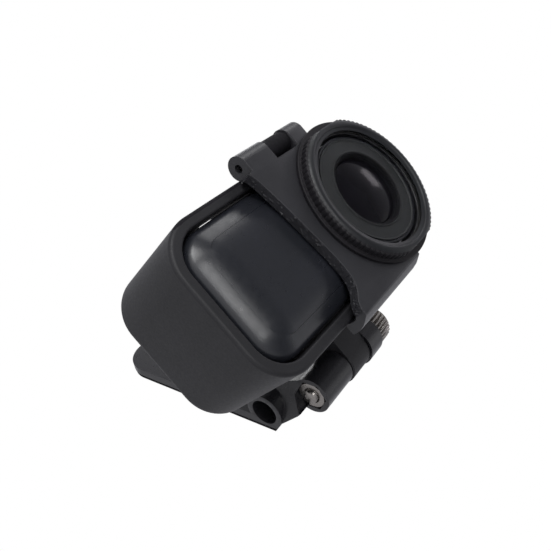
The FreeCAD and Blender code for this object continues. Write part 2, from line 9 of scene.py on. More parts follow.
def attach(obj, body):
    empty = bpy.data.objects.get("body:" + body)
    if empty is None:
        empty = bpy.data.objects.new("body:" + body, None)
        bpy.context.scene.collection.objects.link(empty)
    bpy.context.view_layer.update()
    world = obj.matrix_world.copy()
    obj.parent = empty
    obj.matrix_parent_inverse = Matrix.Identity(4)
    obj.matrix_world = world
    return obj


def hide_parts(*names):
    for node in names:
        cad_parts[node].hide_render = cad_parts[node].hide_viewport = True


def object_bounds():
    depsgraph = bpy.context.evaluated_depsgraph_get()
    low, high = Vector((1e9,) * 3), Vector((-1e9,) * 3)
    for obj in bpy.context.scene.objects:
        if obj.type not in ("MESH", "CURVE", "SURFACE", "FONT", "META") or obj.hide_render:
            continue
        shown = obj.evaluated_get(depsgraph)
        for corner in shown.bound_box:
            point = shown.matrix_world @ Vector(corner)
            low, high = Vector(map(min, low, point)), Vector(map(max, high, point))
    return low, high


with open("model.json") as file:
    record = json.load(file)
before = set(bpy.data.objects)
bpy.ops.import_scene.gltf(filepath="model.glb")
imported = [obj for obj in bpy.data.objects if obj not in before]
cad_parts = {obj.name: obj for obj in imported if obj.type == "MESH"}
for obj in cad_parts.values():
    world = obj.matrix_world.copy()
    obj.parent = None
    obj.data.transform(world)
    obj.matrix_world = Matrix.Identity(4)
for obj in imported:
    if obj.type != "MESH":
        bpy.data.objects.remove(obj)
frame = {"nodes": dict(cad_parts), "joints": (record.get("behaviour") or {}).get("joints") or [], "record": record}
cad_lo, cad_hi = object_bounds()
NODES = frame["nodes"]
JOINTS = {joint["name"]: joint for joint in frame["joints"]}

# Shapes are drawn in millimetres from two places of the frame. AT_HOME starts from HOME, the middle of
# the cradle's front rim at the bottom of the cup. AT_PIVOT starts from the bolt axis at the same height
# and is turned so that X runs along the base plate and Y towards its adhesive face.
LENS_Z = 41.75
LENS_AT = (0, LENS_Z)
GUARD_Y = -5.0
HOME = Vector(JOINTS["guard_twist"]["pos_m"]) - Vector((0, GUARD_Y, LENS_Z)) * 0.001
AXIS = Vector(JOINTS["bolt_turn"]["pos_m"])
FACE = Vector(frame["record"]["mounts"][0]["axis"])
MM = Matrix.Scale(0.001, 4)
AT_HOME = Matrix.Translation(HOME) @ MM
BASE_TURN = Matrix.Rotation(math.atan2(-FACE.x, FACE.y), 4, "Z")
AT_PIVOT = Matrix.Translation((AXIS.x, AXIS.y, HOME.z)) @ BASE_TURN @ MM
SMOOTH_ANGLE = math.radians(32)
TINY = 1e-6


# ---- view and light ----

AZIMUTH, ELEVATION, ROLL = (math.radians(a) for a in (-1.16, -41.49, 48.65))
EYE = HOME + Vector((-0.518, -72.858, -50.222)) * 0.001
BACK = Vector((math.sin(AZIMUTH) * math.cos(ELEVATION), -math.cos(AZIMUTH) * math.cos(ELEVATION),
               math.sin(ELEVATION)))
LEVEL_RIGHT = (-BACK).cross(Vector((0, 0, 1))).normalized()
LEVEL_UP = LEVEL_RIGHT.cross(-BACK)
RIGHT = LEVEL_RIGHT * math.cos(ROLL) + LEVEL_UP * math.sin(ROLL)
UP = LEVEL_UP * math.cos(ROLL) - LEVEL_RIGHT * math.sin(ROLL)
LIGHT_DISTANCE = 0.6


def axes_matrix(x, y, z, at):
    matrix = Matrix((x, y, z)).transposed().to_4x4()
    matrix.translation = at
    return matrix


def make_camera():
    """The view from below and in front, rolled so that the lens end points up and to the right."""
    data = bpy.data.cameras.new("view")
    data.lens = 39.23
    data.sensor_width = 36
    data.shift_x, data.shift_y = 0.00147, 0.00136
    data.clip_start = 0.001
    data.clip_end = 20
    camera = bpy.data.objects.new("view", data)
    bpy.context.scene.collection.objects.link(camera)
    camera.matrix_world = axes_matrix(RIGHT, UP, BACK, EYE)
    bpy.context.scene.camera = camera


def softbox(name, direction, width, height, radiance, colour=(1, 1, 1)):
    """A rectangular soft light. direction is (right, up, towards the camera) as the photographer sees it."""
    target = (cad_lo + cad_hi) / 2
    away = (RIGHT * direction[0] + UP * direction[1] + BACK * direction[2]).normalized()
    data = bpy.data.lights.new(name, "AREA")
    data.shape = "RECTANGLE"
    data.size, data.size_y = width, height
    data.energy = radiance * math.pi * width * height
    data.color = colour
    light = bpy.data.objects.new(name, data)
    bpy.context.scene.collection.objects.link(light)
    light.location = target + away * LIGHT_DISTANCE
    light.rotation_mode = "QUATERNION"
    light.rotation_quaternion = away.to_track_quat("Z", "Y")


def make_lights():
    softbox("front", (0.36, 0.40, 0.84), 0.26, 0.11, 9.0)
    softbox("front_left", (-0.08, 0.76, 0.64), 0.24, 0.22, 10.0)
    softbox("top", (0.20, 0.97, -0.10), 0.18, 0.18, 4.0)
    softbox("left", (-0.70, -0.45, 0.55), 0.40, 0.40, 1.25)
    softbox("right", (0.99, 0.10, -0.10), 0.30, 0.30, 0.5)
    softbox("lens", (0.68, 0.67, -0.30), 0.12, 0.10, 3.2, (1.0, 0.93, 1.0))
    softbox("rim", (-0.24, 0.52, -0.80), 0.30, 0.20, 2.2)


def make_world():
    """White where the camera sees it; the fill light is bright behind the object and dim in front of it."""
    near_colour, near_at = (0.11, 0.11, 0.12, 1), 0.30
    far_colour, far_at = (0.70, 0.70, 0.74, 1), 0.85
    world = bpy.data.worlds.new("studio")
    bpy.context.scene.world = world
    world.use_nodes = True
    tree = world.node_tree
    tree.nodes.clear()
    out = tree.nodes.new("ShaderNodeOutputWorld")
    mix = tree.nodes.new("ShaderNodeMixShader")
    seen = tree.nodes.new("ShaderNodeBackground")
    seen.inputs["Color"].default_value = (1, 1, 1, 1)
    fill = tree.nodes.new("ShaderNodeBackground")
    place = tree.nodes.new("ShaderNodeTexCoord")
    along = tree.nodes.new("ShaderNodeVectorMath")
    along.operation = "DOT_PRODUCT"
    along.inputs[1].default_value = tuple(-BACK)
    shade = tree.nodes.new("ShaderNodeValToRGB")
    dim, bright = shade.color_ramp.elements
    dim.position, dim.color = near_at, near_colour
    bright.position, bright.color = far_at, far_colour
    level = tree.nodes.new("ShaderNodeMapRange")
    level.inputs["From Min"].default_value = -1
    path = tree.nodes.new("ShaderNodeLightPath")
    tree.links.new(place.outputs["Generated"], along.inputs[0])
    tree.links.new(along.outputs["Value"], level.inputs["Value"])
    tree.links.new(level.outputs["Result"], shade.inputs["Fac"])
    tree.links.new(shade.outputs["Color"], fill.inputs["Color"])
    tree.links.new(path.outputs["Is Camera Ray"], mix.inputs[0])
    tree.links.new(fill.outputs[0], mix.inputs[1])
    tree.links.new(seen.outputs[0], mix.inputs[2])
    tree.links.new(mix.outputs[0], out.inputs[0])


def make_stage():
    """A plain pale floor, well below the object."""
    drop, radius = 0.2, 4.0
    mesh = bpy.data.meshes.new("floor")
    bm = bmesh.new()
    bmesh.ops.create_circle(bm, cap_ends=True, segments=96, radius=radius)
    bm.to_mesh(mesh)
    bm.free()
    floor = bpy.data.objects.new("floor", mesh)
    floor.location = (0, 0, cad_lo.z - drop)
    bpy.context.scene.collection.objects.link(floor)
    material, tree, shader = principled("floor_paper")
    shader.inputs["Base Color"].default_value = (0.9, 0.9, 0.9, 1)
    shader.inputs["Roughness"].default_value = 0.9
    floor.data.materials.append(material)


# ---- materials ----

def principled(name):
    material = bpy.data.materials.new(name)
    material.use_nodes = True
    tree = material.node_tree
    return material, tree, tree.nodes["Principled BSDF"]


def noise(tree, scale, detail, rough=0.5):
    place = tree.nodes.new("ShaderNodeTexCoord")
    node = tree.nodes.new("ShaderNodeTexNoise")
    node.inputs["Scale"].default_value = scale
    node.inputs["Detail"].default_value = detail
    node.inputs["Roughness"].default_value = rough
    tree.links.new(place.outputs["Object"], node.inputs["Vector"])
    return node.outputs["Fac"]


def ramp(tree, source, low, high):
    """Spreads a noise, which mostly lies between 0.3 and 0.7, over the range from low to high."""
    node = tree.nodes.new("ShaderNodeMapRange")
    node.inputs["From Min"].default_value = 0.3
    node.inputs["From Max"].default_value = 0.7
    node.inputs["To Min"].default_value = low
    node.inputs["To Max"].default_value = high
    tree.links.new(source, node.inputs["Value"])
    return node.outputs["Result"]


def blend_colours(tree, factor, first, second):
    """Mixes two colours; sockets 6 and 7 and output 2 are the Mix node's colour ones."""
    node = tree.nodes.new("ShaderNodeMix")
    node.data_type = "RGBA"
    node.inputs[6].default_value = (*first, 1)
    node.inputs[7].default_value = (*second, 1)
    tree.links.new(factor, node.inputs[0])
    return node.outputs[2]


def bump(tree, shader, height, distance):
    node = tree.nodes.new("ShaderNodeBump")
    node.inputs["Strength"].default_value = 1.0
    node.inputs["Distance"].default_value = distance
    tree.links.new(height, node.inputs["Height"])
    tree.links.new(node.outputs[0], shader.inputs["Normal"])


def finish(name, colour, lighter, roughness, grain=2600, depth=0.00001, metallic=0.0, spread=0.06,
           specular=0.5):
    """A moulded or metal surface: blotches between two colours, and a fine grain in roughness and height."""
    material, tree, shader = principled(name)
    blotch = ramp(tree, noise(tree, 140, 2), 0, 1)
    tree.links.new(blend_colours(tree, blotch, colour, lighter), shader.inputs["Base Color"])
    fine = noise(tree, grain, 4, 0.6)
    tree.links.new(ramp(tree, fine, roughness - spread, roughness + spread), shader.inputs["Roughness"])
    if depth:
        bump(tree, shader, fine, depth)
    shader.inputs["Metallic"].default_value = metallic
    shader.inputs["Specular IOR Level"].default_value = specular
    return material


def coated_pane(name, cover):
    """Anti-reflection coated glass: nearly clear, so what lies behind it stays lit."""
    material, tree, shader = principled(name)
    haze = noise(tree, 300, 3)
    tree.links.new(ramp(tree, haze, 0.12, 0.16), shader.inputs["Roughness"])
    shader.inputs["Specular IOR Level"].default_value = 0.02
    tree.links.new(ramp(tree, haze, cover - 0.01, cover + 0.01), shader.inputs["Alpha"])
    shader.inputs["Base Color"].default_value = (0, 0, 0, 1)
    return material


# ---- mesh tools, in millimetres ----

def linked(name, bm):
    """Makes an object of a finished mesh, with its faces turned outwards."""
    bmesh.ops.recalc_face_normals(bm, faces=bm.faces)
    mesh = bpy.data.meshes.new(name)
    bm.to_mesh(mesh)
    bm.free()
    item = bpy.data.objects.new(name, mesh)
    bpy.context.scene.collection.objects.link(item)
    return item


def soften(points, reach):
    """Rounds the corners of a closed outline of 2-D points."""
    steps = 3
    out = []
    for i, point in enumerate(points):
        here = Vector(point)
        before = Vector(points[i - 1]) - here
        after = Vector(points[(i + 1) % len(points)]) - here
        cut = min(reach, 0.45 * before.length, 0.45 * after.length)
        start = here + before.normalized() * cut
        end = here + after.normalized() * cut
        for k in range(steps + 1):
            t = k / steps
            out.append(tuple(start * (1 - t) ** 2 + here * (2 * t * (1 - t)) + end * t * t))
    return out


def skin(bm, rings, closed=False):
    """Faces between rings of vertices; a ring of one vertex is a pole. closed joins the last to the first."""
    pairs = list(zip(rings, rings[1:]))
    if closed:
        pairs.append((rings[-1], rings[0]))
    for a, b in pairs:
        n = max(len(a), len(b))
        for k in range(n):
            j = (k + 1) % n
            if len(a) == 1:
                bm.faces.new((a[0], b[j], b[k]))
            elif len(b) == 1:
                bm.faces.new((a[k], a[j], b[0]))
            else:
                bm.faces.new((a[k], a[j], b[j], b[k]))


def lathe(name, rows, steps, axis="Y", at=(0.0, 0.0), shape=None, closed=True):
    """Turns (radius, height) rows about Y or Z; shape(radius, height, angle) may change a radius."""
    bm = bmesh.new()
    rings = []
    for radius, height in rows:
        ring = []
        for k in range(steps if radius > TINY else 1):
            angle = 2 * math.pi * k / steps
            reach = shape(radius, height, angle) if shape else radius
            across, up = reach * math.cos(angle), reach * math.sin(angle)
            if axis == "Y":
                ring.append(bm.verts.new((at[0] + across, height, at[1] + up)))
            else:
                ring.append(bm.verts.new((at[0] + across, at[1] + up, height)))
        rings.append(ring)
    skin(bm, rings, closed)
    return linked(name, bm)


def slab(name, outline, low, high, axis="Y", round_low=0.0):
    """A flat piece from an outline; round_low rounds the edge of its low face."""
    bm = bmesh.new()
    loops = []
    for level in (low, high):
        loops.append([bm.verts.new((u, level, v) if axis == "Y" else (u, v, level)) for u, v in outline])
    bm.faces.new(loops[0])
    bm.faces.new(loops[1])
    skin(bm, loops)
    bmesh.ops.recalc_face_normals(bm, faces=bm.faces)
    if round_low:
        own = set(loops[0])
        edges = [e for e in bm.edges if e.verts[0] in own and e.verts[1] in own]
        bmesh.ops.bevel(bm, geom=edges, offset=round_low, offset_type="OFFSET", segments=3,
                        profile=0.5, affect="EDGES", clamp_overlap=True)
    return linked(name, bm)


def rounded_rect(x0, x1, z0, z1, radius, steps=12):
    out = []
    for cx, cz, start in ((x1 - radius, z1 - radius, 0), (x0 + radius, z1 - radius, 90),
                          (x0 + radius, z0 + radius, 180), (x1 - radius, z0 + radius, 270)):
        for k in range(steps + 1):
            angle = math.radians(start + 90 * k / steps)
            out.append((cx + radius * math.cos(angle), cz + radius * math.sin(angle)))
    return out


def loft(name, sections):
    """A solid through (outline, y) sections, capped at both ends."""
    bm = bmesh.new()
    rings = [[bm.verts.new((x, y, z)) for x, z in outline] for outline, y in sections]
    skin(bm, rings)
    bm.faces.new(rings[0])
    bm.faces.new(rings[-1])
    return linked(name, bm)


def combine(item, operation, *tools):
    """Adds or cuts away other solids, which are used up."""
    for tool in tools:
        step = item.modifiers.new("step", "BOOLEAN")
        step.operation = operation
        step.solver = "EXACT"
        step.object = tool
    bpy.context.view_layer.update()
    graph = bpy.context.evaluated_depsgraph_get()
    mesh = bpy.data.meshes.new_from_object(item.evaluated_get(graph))
    item.modifiers.clear()
    item.data = mesh
    for tool in tools:
        bpy.data.objects.remove(tool)


def merge(name, items):
    """Puts several meshes in one piece."""
    bm = bmesh.new()
    for item in items:
        bm.from_mesh(item.data)
        bpy.data.objects.remove(item)
    return linked(name, bm)


def settle(item, place, material, body, node):
    """Sets a finished piece in the frame, with its material, and lets it stand for its CAD node."""
    item.data.transform(place)
    item.data.materials.clear()
    item.data.materials.append(material)
    item.data.shade_smooth()
    item.data.set_sharp_from_angle(angle=SMOOTH_ANGLE)
    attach(item, body)
    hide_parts(node)


def paint_part(item, material, inside):
    """Gives a second material to the faces whose middle, in drawing millimetres, lies inside."""
    item.data.materials.append(material)
    for face in item.data.polygons:
        if inside((face.center - HOME) * 1000):
            face.material_index = 1


# ---- camera ----

# BODY and KEY are rectangles seen from the front: left, right, low and high.
BODY = (-12.8, 12.8, 2.45, 56.85)
BODY_CORNER = 6.2
FRONT_Y = -1.3
SEAM_Y = 8.0
PILLOW_WIDTH, PILLOW_DEPTH = 7.5, 2.1
EDGE_WIDTH, EDGE_DEPTH = 1.3, 1.1
CROWN_DEPTH = PILLOW_DEPTH + EDGE_DEPTH
KEY = (-9.6, 9.6, 5.8, 28.6)
KEY_CORNER = 4.0
KEY_INSET = BODY[1] - KEY[1]
BARREL_RADIUS = 7.8


def crown(inset):
    """Height of the pillow-like front face, by distance in from the body's side."""
    pillow = max(0.0, 1 - inset / PILLOW_WIDTH)
    edge = min(1.0, max(0.0, 1 - inset / EDGE_WIDTH))
    return FRONT_Y + PILLOW_DEPTH * pillow ** 2 + EDGE_DEPTH * (1 - math.sqrt(1 - edge ** 2))


def inset_rect(limits, radius, inset):
    """A rounded rectangle moved in from its limits by inset, or out where inset is negative."""
    x0, x1, z0, z1 = limits
    return rounded_rect(x0 + inset, x1 - inset, z0 + inset, z1 - inset, max(radius - inset, 0.4))


def crown_insets(start):
    """Distances for the crown's sections: close together at its round edge, then wider apart."""
    steps = 10
    edge = [EDGE_WIDTH * (1 - math.cos(math.pi / 2 * k / steps)) for k in range(steps)]
    face = [EDGE_WIDTH + (PILLOW_WIDTH - EDGE_WIDTH) * k / steps for k in range(steps + 1)]
    return [inset for inset in edge + face if inset > start + 0.05]


def make_front_shell(material):
    """From the inside of the front wall back along the side walls, round their ends and out to the front."""
    wall, lead, gap = 1.2, 0.08, 0.03
    levels = [(2.45, 0.0), (2.4, 1.2), (wall, 3.0), (wall, SEAM_Y), (lead, SEAM_Y), (0.0, SEAM_Y - 0.1),
              (0.0, FRONT_Y + CROWN_DEPTH)]
    levels += [(inset, crown(inset)) for inset in crown_insets(0)]
    shell = loft("camera_front", [(inset_rect(BODY, BODY_CORNER, inset), y) for inset, y in levels])
    opening = slab("opening", inset_rect(KEY, KEY_CORNER, -gap), -6, 0.6)
    rows = [(0, -9), (BARREL_RADIUS, -9), (BARREL_RADIUS, 4), (0, 4)]
    hole = lathe("hole", rows, 96, at=LENS_AT, closed=False)
    combine(shell, "DIFFERENCE", opening, hole)
    settle(shell, AT_HOME, material, "cradle", "camera_front_shell")


def make_key(material):
    """The key carries on the shell's crown; a flange behind it keeps it in the opening."""
    proud, edge, flange, back = 0.008, 0.03, 0.55, 0.02
    rim = crown(KEY_INSET) - proud
    levels = [(-flange, 0.5), (-flange, back), (0.0, back), (0.0, rim + edge), (0.3 * edge, rim + 0.3 * edge)]
    levels += [(inset - KEY_INSET, crown(inset) - proud) for inset in crown_insets(KEY_INSET + edge)]
    key = loft("key_face", [(inset_rect(KEY, KEY_CORNER, inset), y) for inset, y in levels])
    settle(key, AT_HOME, material, "key", "front_key")


def make_lens_rings(gloss, coat, well):
    """The housing, sunk in the shell at its back, the matte bezel, the dark well and its retainer."""
    inside, outside, front = BARREL_RADIUS, 11.5, -4.9
    rows = soften([(inside, 0.5), (outside, 0.5), (outside, front), (11.0, front), (11.0, -4.5),
                   (inside, -4.5)], 0.12)
    housing = lathe("lens_housing_ring", rows, 128, at=LENS_AT)
    settle(housing, AT_HOME, gloss, "cradle", "lens_housing")
    rows = [(7.83, -4.52), (7.83, -5.06), (7.88, -5.13), (7.98, -5.16), (8.08, -5.13), (8.14, -5.05),
            (8.2, -4.95), (8.4, -4.9), (10.5, -4.86), (10.62, -5.0), (10.75, -5.05), (10.9, -5.05),
            (10.95, -4.98), (10.95, -4.52)]
    bezel = lathe("lens_bezel_ring", rows, 160, at=LENS_AT)
    settle(bezel, AT_HOME, coat, "cradle", "lens_bezel")
    rows = [(inside, 5.2), (inside, -4.98), (7.74, -5.06), (7.6, -5.06), (7.5, -4.96), (7.42, -4.7),
            (7.3, -4.68), (7.22, -4.3), (7.1, -4.28), (7.02, -3.8), (6.98, -3.3), (6.5, -3.3), (6.5, -2.6),
            (5.85, -2.6), (5.85, -0.4), (4.65, -0.4), (4.65, 2.2), (4.05, 2.2), (4.05, 5.2)]
    barrel = lathe("lens_well", rows, 160, at=LENS_AT)
    settle(barrel, AT_HOME, well, "cradle", "lens_barrel")
    rows = soften([(6.45, -3.28), (6.45, -2.62), (5.58, -2.62), (5.6, -2.75), (6.1, -3.28)], 0.06)
    retainer = lathe("lens_retainer_ring", rows, 128, at=LENS_AT)
    settle(retainer, AT_HOME, well, "cradle", "lens_retainer")


def make_dome(material):
    """The front element: a stem and a head with a ball-shaped face."""
    head, apex, ball, steps = 6.9, -4.9, 24.3, 20
    tilt = math.asin(head / ball)
    rows = [(0, -0.4), (5.75, -0.4), (5.8, -0.5), (5.8, -2.5), (5.5, -2.6), (5.5, -3.35), (6.85, -3.35),
            (head, -3.42), (head, -3.84), (6.87, -3.9)]
    rows += [(ball * math.sin(tilt * k / steps), apex + ball - ball * math.cos(tilt * k / steps))
             for k in range(steps - 1, 0, -1)]
    rows.append((0, apex))
    dome = lathe("lens_dome", rows, 160, at=LENS_AT, closed=False)
    settle(dome, AT_HOME, material, "cradle", "lens_front")


# ---- lens guard ----

KNURL_COUNT, KNURL_DEPTH = 84, 0.22
FLAT_HALF = 13.7
FLANGE_FRONT = -4.61


def guard_shape(radius, height, angle):
    """Cuts the grip's fine ribs and its two flats; the flange behind them stays round."""
    if radius > 14.0 and -6.2 < height < FLANGE_FRONT - 0.01:
        radius -= KNURL_DEPTH * (0.5 + 0.5 * math.cos(KNURL_COUNT * angle)) ** 2
    if height < FLANGE_FRONT:
        radius = min(radius, FLAT_HALF / max(abs(math.cos(angle)), TINY))
    return radius


def on_grip_painted_shade(at):
    """The ribbed side of the ring and its flange, but not the smooth front rim; their darker grip material is
    partly painted shade.
    """
    return -6.16 < at.y < -3.92 and math.hypot(at.x, at.z - LENS_Z) > 13.3


def make_guard(metal, grip, window):
    rows = [(13.25, -3.95), (13.3, -3.9), (15.05, -3.9), (15.2, -4.02), (15.2, -4.45), (15.08, -4.58),
            (14.75, -4.6), (14.65, -4.66), (14.65, -5.3), (14.65, -5.9), (14.6, -6.02), (14.42, -6.12),
            (14.2, -6.2), (14.02, -6.34), (13.8, -6.46), (13.6, -6.53), (13.35, -6.56), (13.1, -6.54),
            (12.92, -6.47), (12.78, -6.34), (12.72, -6.2), (12.55, -6.12), (12.2, -6.1), (12.1, -6.05),
            (12.6, -6.05), (12.6, -5.4), (13.25, -5.4)]
    ring = lathe("guard_body", rows, KNURL_COUNT * 10, at=LENS_AT, shape=guard_shape)
    settle(ring, AT_HOME, metal, "guard", "guard_ring")
    # painted shade: the grip and flange faces take a darker copy of the ring's material
    paint_part(ring, grip, on_grip_painted_shade)
    rows = [(0, -5.42), (12.4, -5.42), (12.5, -5.5), (12.5, -5.95), (12.4, -6.03), (0, -6.03)]
    pane = lathe("guard_pane", rows, 128, at=LENS_AT, closed=False)
    settle(pane, AT_HOME, window, "guard", "guard_glass")


# ---- bolt, nut and pin ----

PIN = (-16.65, -1.5)
HEAD_LOW, HEAD_HIGH = 39.9, 44.5
SIXTH = math.pi / 3


def hexagon(half, angle):
    """Reach of a hexagon with half its width over the flats given."""
    return half / math.cos((angle + SIXTH / 2) % SIXTH - SIXTH / 2)


def bolt_head():
    """A head with straight ribs and a hexagon socket, with a short stem below it."""
    ribs, rib_depth, socket_half = 28, 0.5, 1.25
    low, high = HEAD_LOW, HEAD_HIGH

    def shape(radius, height, angle):
        if radius > 3.7 and low + 0.2 < height < high - 0.2:
            return radius - rib_depth * (0.5 + 0.5 * math.cos(ribs * angle)) ** 2
        if 0.9 < radius < 1.3 and height > low + 2:
            return hexagon(socket_half, angle)
        return radius

    rows = [(0, low + 0.5), (1.45, low + 0.5), (1.45, low), (3.8, low), (4.0, low + 0.08), (4.1, low + 0.25),
            (4.2, low + 0.35), (4.2, high - 0.4), (4.08, high - 0.28), (3.9, high - 0.08), (3.6, high),
            (1.6, high), (1.5, high - 0.05), (1.25, high - 0.3), (1.25, high - 2.2), (0, high - 2.4)]
    return lathe("head", rows, ribs * 10, "Z", shape=shape, closed=False)


def bolt_shank():
    """An M3 shank whose lower part has a thread."""
    end, thread_end, radius, pitch, depth, rings = 17.9, 27, 1.48, 0.5, 0.16, 140

    def thread(reach, height, angle):
        if reach < 1.2 or height > thread_end:
            return reach
        phase = (height / pitch - angle / (2 * math.pi)) % 1.0
        return reach - depth * (1 - abs(2 * phase - 1))

    rows = [(0, end), (1.0, end), (1.25, end + 0.08)]
    rows += [(radius, end + 0.25 + pitch / 8 * k) for k in range(rings)]
    rows += [(radius, thread_end + 1), (radius, HEAD_LOW + 0.6), (0, HEAD_LOW + 0.6)]
    return lathe("shank", rows, 48, "Z", shape=thread, closed=False)


def make_bolt(steel):
    bolt = merge("clamp_screw", [bolt_head(), bolt_shank()])
    settle(bolt, AT_PIVOT, steel, "clamp_bolt", "pivot_bolt")


def make_nut(steel):
    """An M3 nut, whose chamfers are the same at both ends."""
    low, high, half = 18.6, 21.0, 2.75
    chamfer = [(2.62, 0.0), (2.74, 0.03), (2.86, 0.10), (2.98, 0.19), (3.1, 0.30), (3.175, 0.38)]
    rows = [(1.53, low + 0.22), (1.72, low + 0.02), (1.8, low)]
    rows += [(radius, low + depth) for radius, depth in chamfer]
    rows += [(radius, high - depth) for radius, depth in reversed(chamfer)]
    rows += [(1.8, high), (1.53, high - 0.22)]

    def shape(radius, height, angle):
        return min(radius, hexagon(half, angle))

    nut = lathe("nut", rows, 144, "Z", shape=shape)
    settle(nut, AT_PIVOT, steel, "base", "pivot_nut")


def make_pin(steel):
    low, high, radius = 23.4, 39.7, 0.75
    rows = [(0, low - 0.02), (0.35, low), (0.6, low + 0.08), (radius, low + 0.25), (radius, high - 0.25),
            (0.6, high - 0.08), (0.35, high), (0, high + 0.02)]
    pin = lathe("door_pin", rows, 40, "Z", at=PIN, closed=False)
    settle(pin, AT_HOME, steel, "cradle", "hinge_pin")


# ---- door strap ----

STRAP_FRONT, STRAP_BACK, STRAP_TOP = -3.8, -1.7, 42.3
STRAP_DISC = 15.0
HINGE_RADIUS, HINGE_LOW, HINGE_HIGH = 2.3, 22.4, 40.1


def curve_through(points):
    """Points along a smooth line through the given ones."""
    steps = 16
    out = []
    for i in range(len(points) - 1):
        p0, p1 = Vector(points[max(i - 1, 0)]), Vector(points[i])
        p2, p3 = Vector(points[i + 1]), Vector(points[min(i + 2, len(points) - 1)])
        for k in range(steps):
            t = k / steps
            out.append(tuple(0.5 * (2 * p1 + (p2 - p0) * t + (2 * p0 - 5 * p1 + 4 * p2 - p3) * t * t
                                    + (3 * p1 - p0 - 3 * p2 + p3) * t ** 3)))
    out.append(tuple(points[-1]))
    return out


def strap_section():
    """The strap seen from above: hinge barrel, face plate and the lug that wraps round the cup's side."""
    turns = [math.radians(degrees) for degrees in range(-4, 270, 17)]
    barrel = [(PIN[0] + HINGE_RADIUS * math.cos(a), PIN[1] + HINGE_RADIUS * math.sin(a)) for a in turns]
    plate = [(PIN[0], STRAP_FRONT), (-10, STRAP_FRONT), (14.6, STRAP_FRONT)]
    lug = [(15.7, STRAP_FRONT), (16.9, -1.9), (17.5, -0.3), (17.5, 1.6), (15.36, 1.6), (15.36, 0.9),
           (15.55, 0.4), (15.55, -1.1), (14.95, STRAP_BACK)]
    return soften(barrel + plate + lug + [(-13.8, STRAP_BACK)], 0.3)


def strap_lower_edge():
    """The strap's wavy lower edge, from the hinge barrel to the latch lug."""
    return curve_through([(-14.4, 21.2), (-12.2, 21.9), (-6.5, 22.8), (0, 23.6), (5.5, 24.1), (9.4, 24.0),
                          (11.6, 23.0), (13.0, 21.5), (14.2, 20.8), (15.1, 20.6)])


def strap_outline():
    """The strap seen from the front, with its round part about the lens; its sides only have to clear."""
    steps, left, right = 60, -20, 18.2
    start = math.asin((STRAP_TOP - LENS_Z) / STRAP_DISC)
    arc = [start + (math.pi - 2 * start) * k / steps for k in range(steps + 1)]
    disc = [(STRAP_DISC * math.cos(a), LENS_Z + STRAP_DISC * math.sin(a)) for a in arc]
    lug = [(right, 20.6), (right, STRAP_TOP)]
    hinge = [(-14.4, STRAP_TOP), (-14.4, HINGE_HIGH), (left, HINGE_HIGH), (left, HINGE_LOW),
             (-14.8, HINGE_LOW)]
    return strap_lower_edge() + lug + disc + hinge


def make_flash():
    """The rough moulding edge along the underside of the strap, leaving out the edge's two ends."""
    across = 8
    run = strap_lower_edge()[8:-4]
    front, back = STRAP_FRONT + 0.07, STRAP_BACK - 0.13
    bm = bmesh.new()
    rings = []
    for x, z in run:
        ring = []
        for k in range(across + 1):
            y = front + (back - front) * k / across
            lump = noise_value(Vector((x * 3.6, y * 3.6, z))) + 0.6 * noise_value(Vector((x * 7, y * 7, z)))
            ring.append(bm.verts.new((x, y, z + 0.10 - 0.34 * max(0.0, lump + 0.15))))
        ring.append(bm.verts.new((x, STRAP_BACK - 0.15, z + 0.4)))
        ring.append(bm.verts.new((x, STRAP_FRONT + 0.15, z + 0.4)))
        rings.append(ring)
    skin(bm, rings)
    bm.faces.new(rings[0])
    bm.faces.new(rings[-1])
    return linked("flash", bm)


def hinge_cutters():
    """The slot for the cradle's hinge ear, flared at the front, and the bore for the pin."""
    slot = loft("slot", [(rounded_rect(-25, -14.3 + flare, 29.4 - flare, 35.8 + flare, 0.05, 1), y)
                         for flare, y in ((0.3, -4.05), (0, -3.5), (0, 5))])
    bore = lathe("bore", [(0, 5), (0.8, 5), (0.8, 60), (0, 60)], 40, "Z", at=PIN, closed=False)
    return slot, bore


def make_strap(material):
    """The section run along Z, kept where the front outline is, with the guard's collar and the openings."""
    strap = slab("strap_face", strap_section(), 15, 60, "Z")
    outline = slab("strap_front", strap_outline(), STRAP_FRONT + 0.004, 8, "Y", 0.26)
    combine(strap, "INTERSECT", outline)
    rows = soften([(11.9, -1.75), (13.2, -1.75), (13.2, -5.2), (11.9, -5.2)], 0.12)
    collar = lathe("collar", rows, 128, at=LENS_AT)
    combine(strap, "UNION", collar)
    rows = [(0, -9), (12.1, -9), (12.1, -5.15), (12.0, -5.05), (12.0, 4), (0, 4)]
    hole = lathe("hole", rows, 128, at=LENS_AT, closed=False)
    combine(strap, "DIFFERENCE", *hinge_cutters(), hole)
    strap = merge("strap", [strap, make_flash()])
    settle(strap, AT_HOME, material, "door", "door_strap")


# ---- CAD pieces that keep their shape, and the materials of all pieces ----

def dress(names, material):
    """Gives CAD pieces, named with spaces between, a material of their own."""
    for name in names.split():
        mesh = NODES[name].data
        mesh.materials.clear()
        mesh.materials.append(material)


def in_hinge_painted_shade(at):
    """The cradle's hinge ear, where the strap's slot leaves it in shadow; its darker material there is painted
    shade.
    """
    return at.x < -14.4 and at.y < 1.2


def round_edges(node, width):
    """Rounds a CAD piece's edges with modifiers. Its points stay; only its imported normals go."""
    item = NODES[node]
    item.data.attributes.remove(item.data.attributes["custom_normal"])
    item.data.shade_smooth()
    weld = item.modifiers.new("weld", "WELD")
    weld.merge_threshold = 0.000002
    bevel = item.modifiers.new("bevel", "BEVEL")
    bevel.width = width
    bevel.segments = 2
    bevel.limit_method = "ANGLE"
    bevel.angle_limit = math.radians(35)
    normals = item.modifiers.new("normals", "WEIGHTED_NORMAL")
    normals.keep_sharp = True


